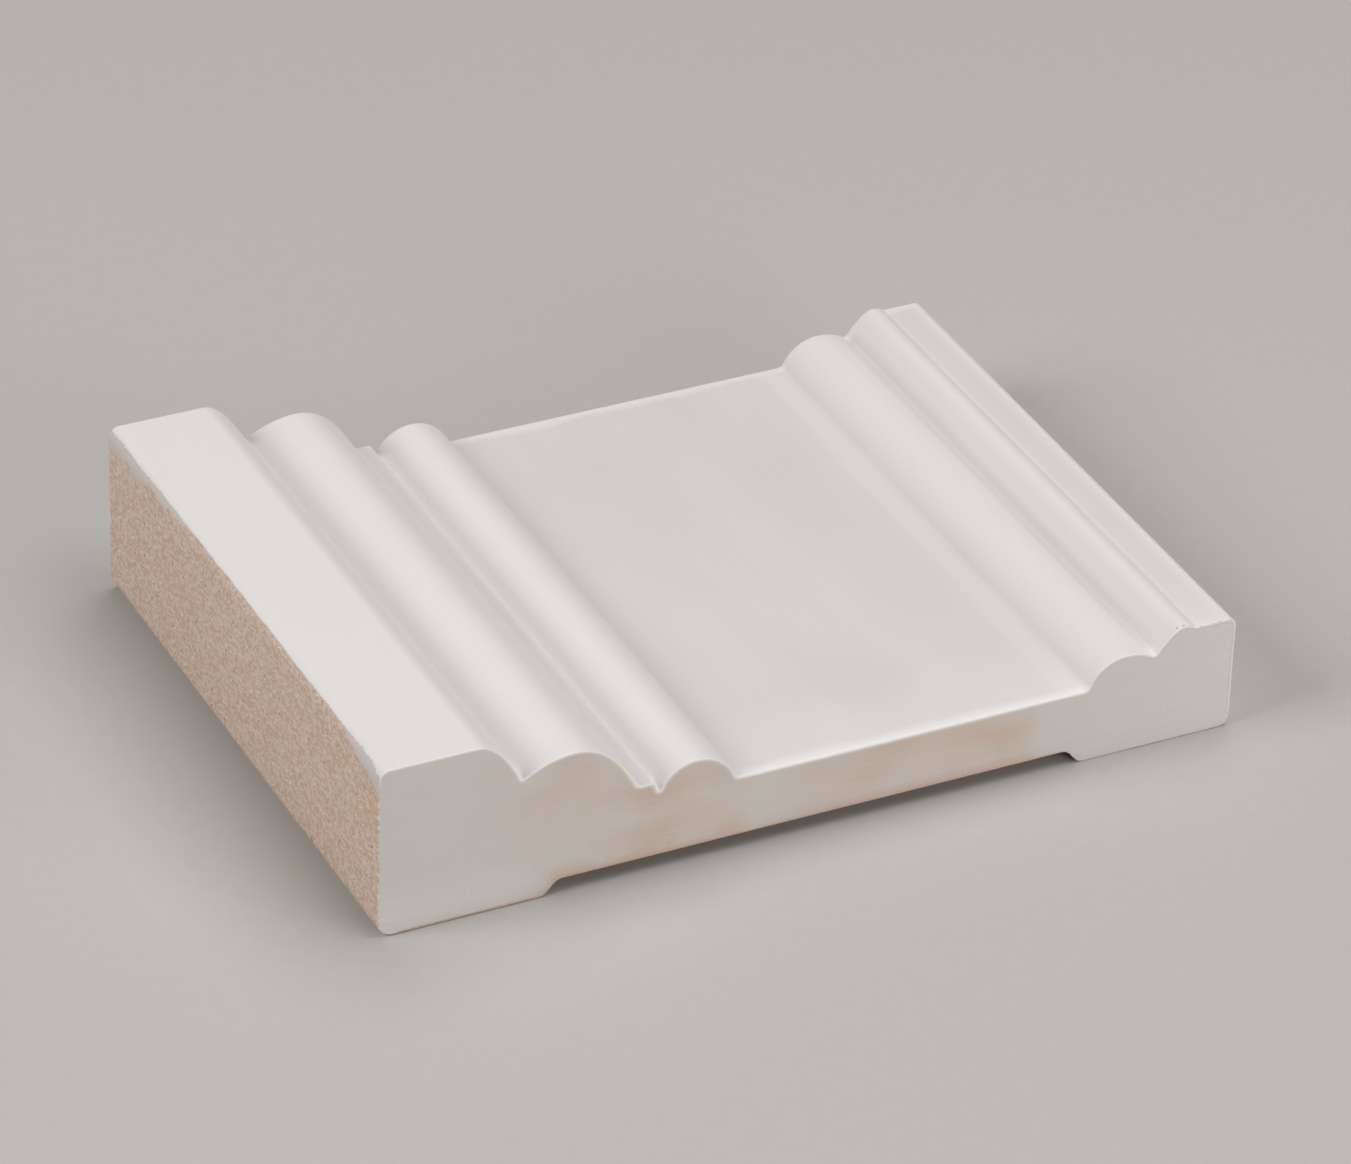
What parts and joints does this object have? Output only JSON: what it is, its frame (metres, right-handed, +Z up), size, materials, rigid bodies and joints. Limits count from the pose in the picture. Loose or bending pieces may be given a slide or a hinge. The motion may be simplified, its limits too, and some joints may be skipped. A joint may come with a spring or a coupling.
{
  "type": "door casing",
  "caption": "Short length of wide primed MDF door casing: thick outer edge, stepped beads, broad flat field and a beaded thin inner edge, relieved along its back.",
  "frame": {"origin": "middle of the width and of the length, on the plane of the two back lands", "axes": "+X across the width towards the thin inner edge, +Y along the length, +Z up out of the moulded face"},
  "size_m": [0.1396, 0.1016, 0.0286],
  "materials": {
    "primed_mdf": "matt white primer over MDF, bare on the outer edge"
  },
  "bodies": {
    "root": {"door_casing": "primed_mdf"}
  },
  "joints": []
}
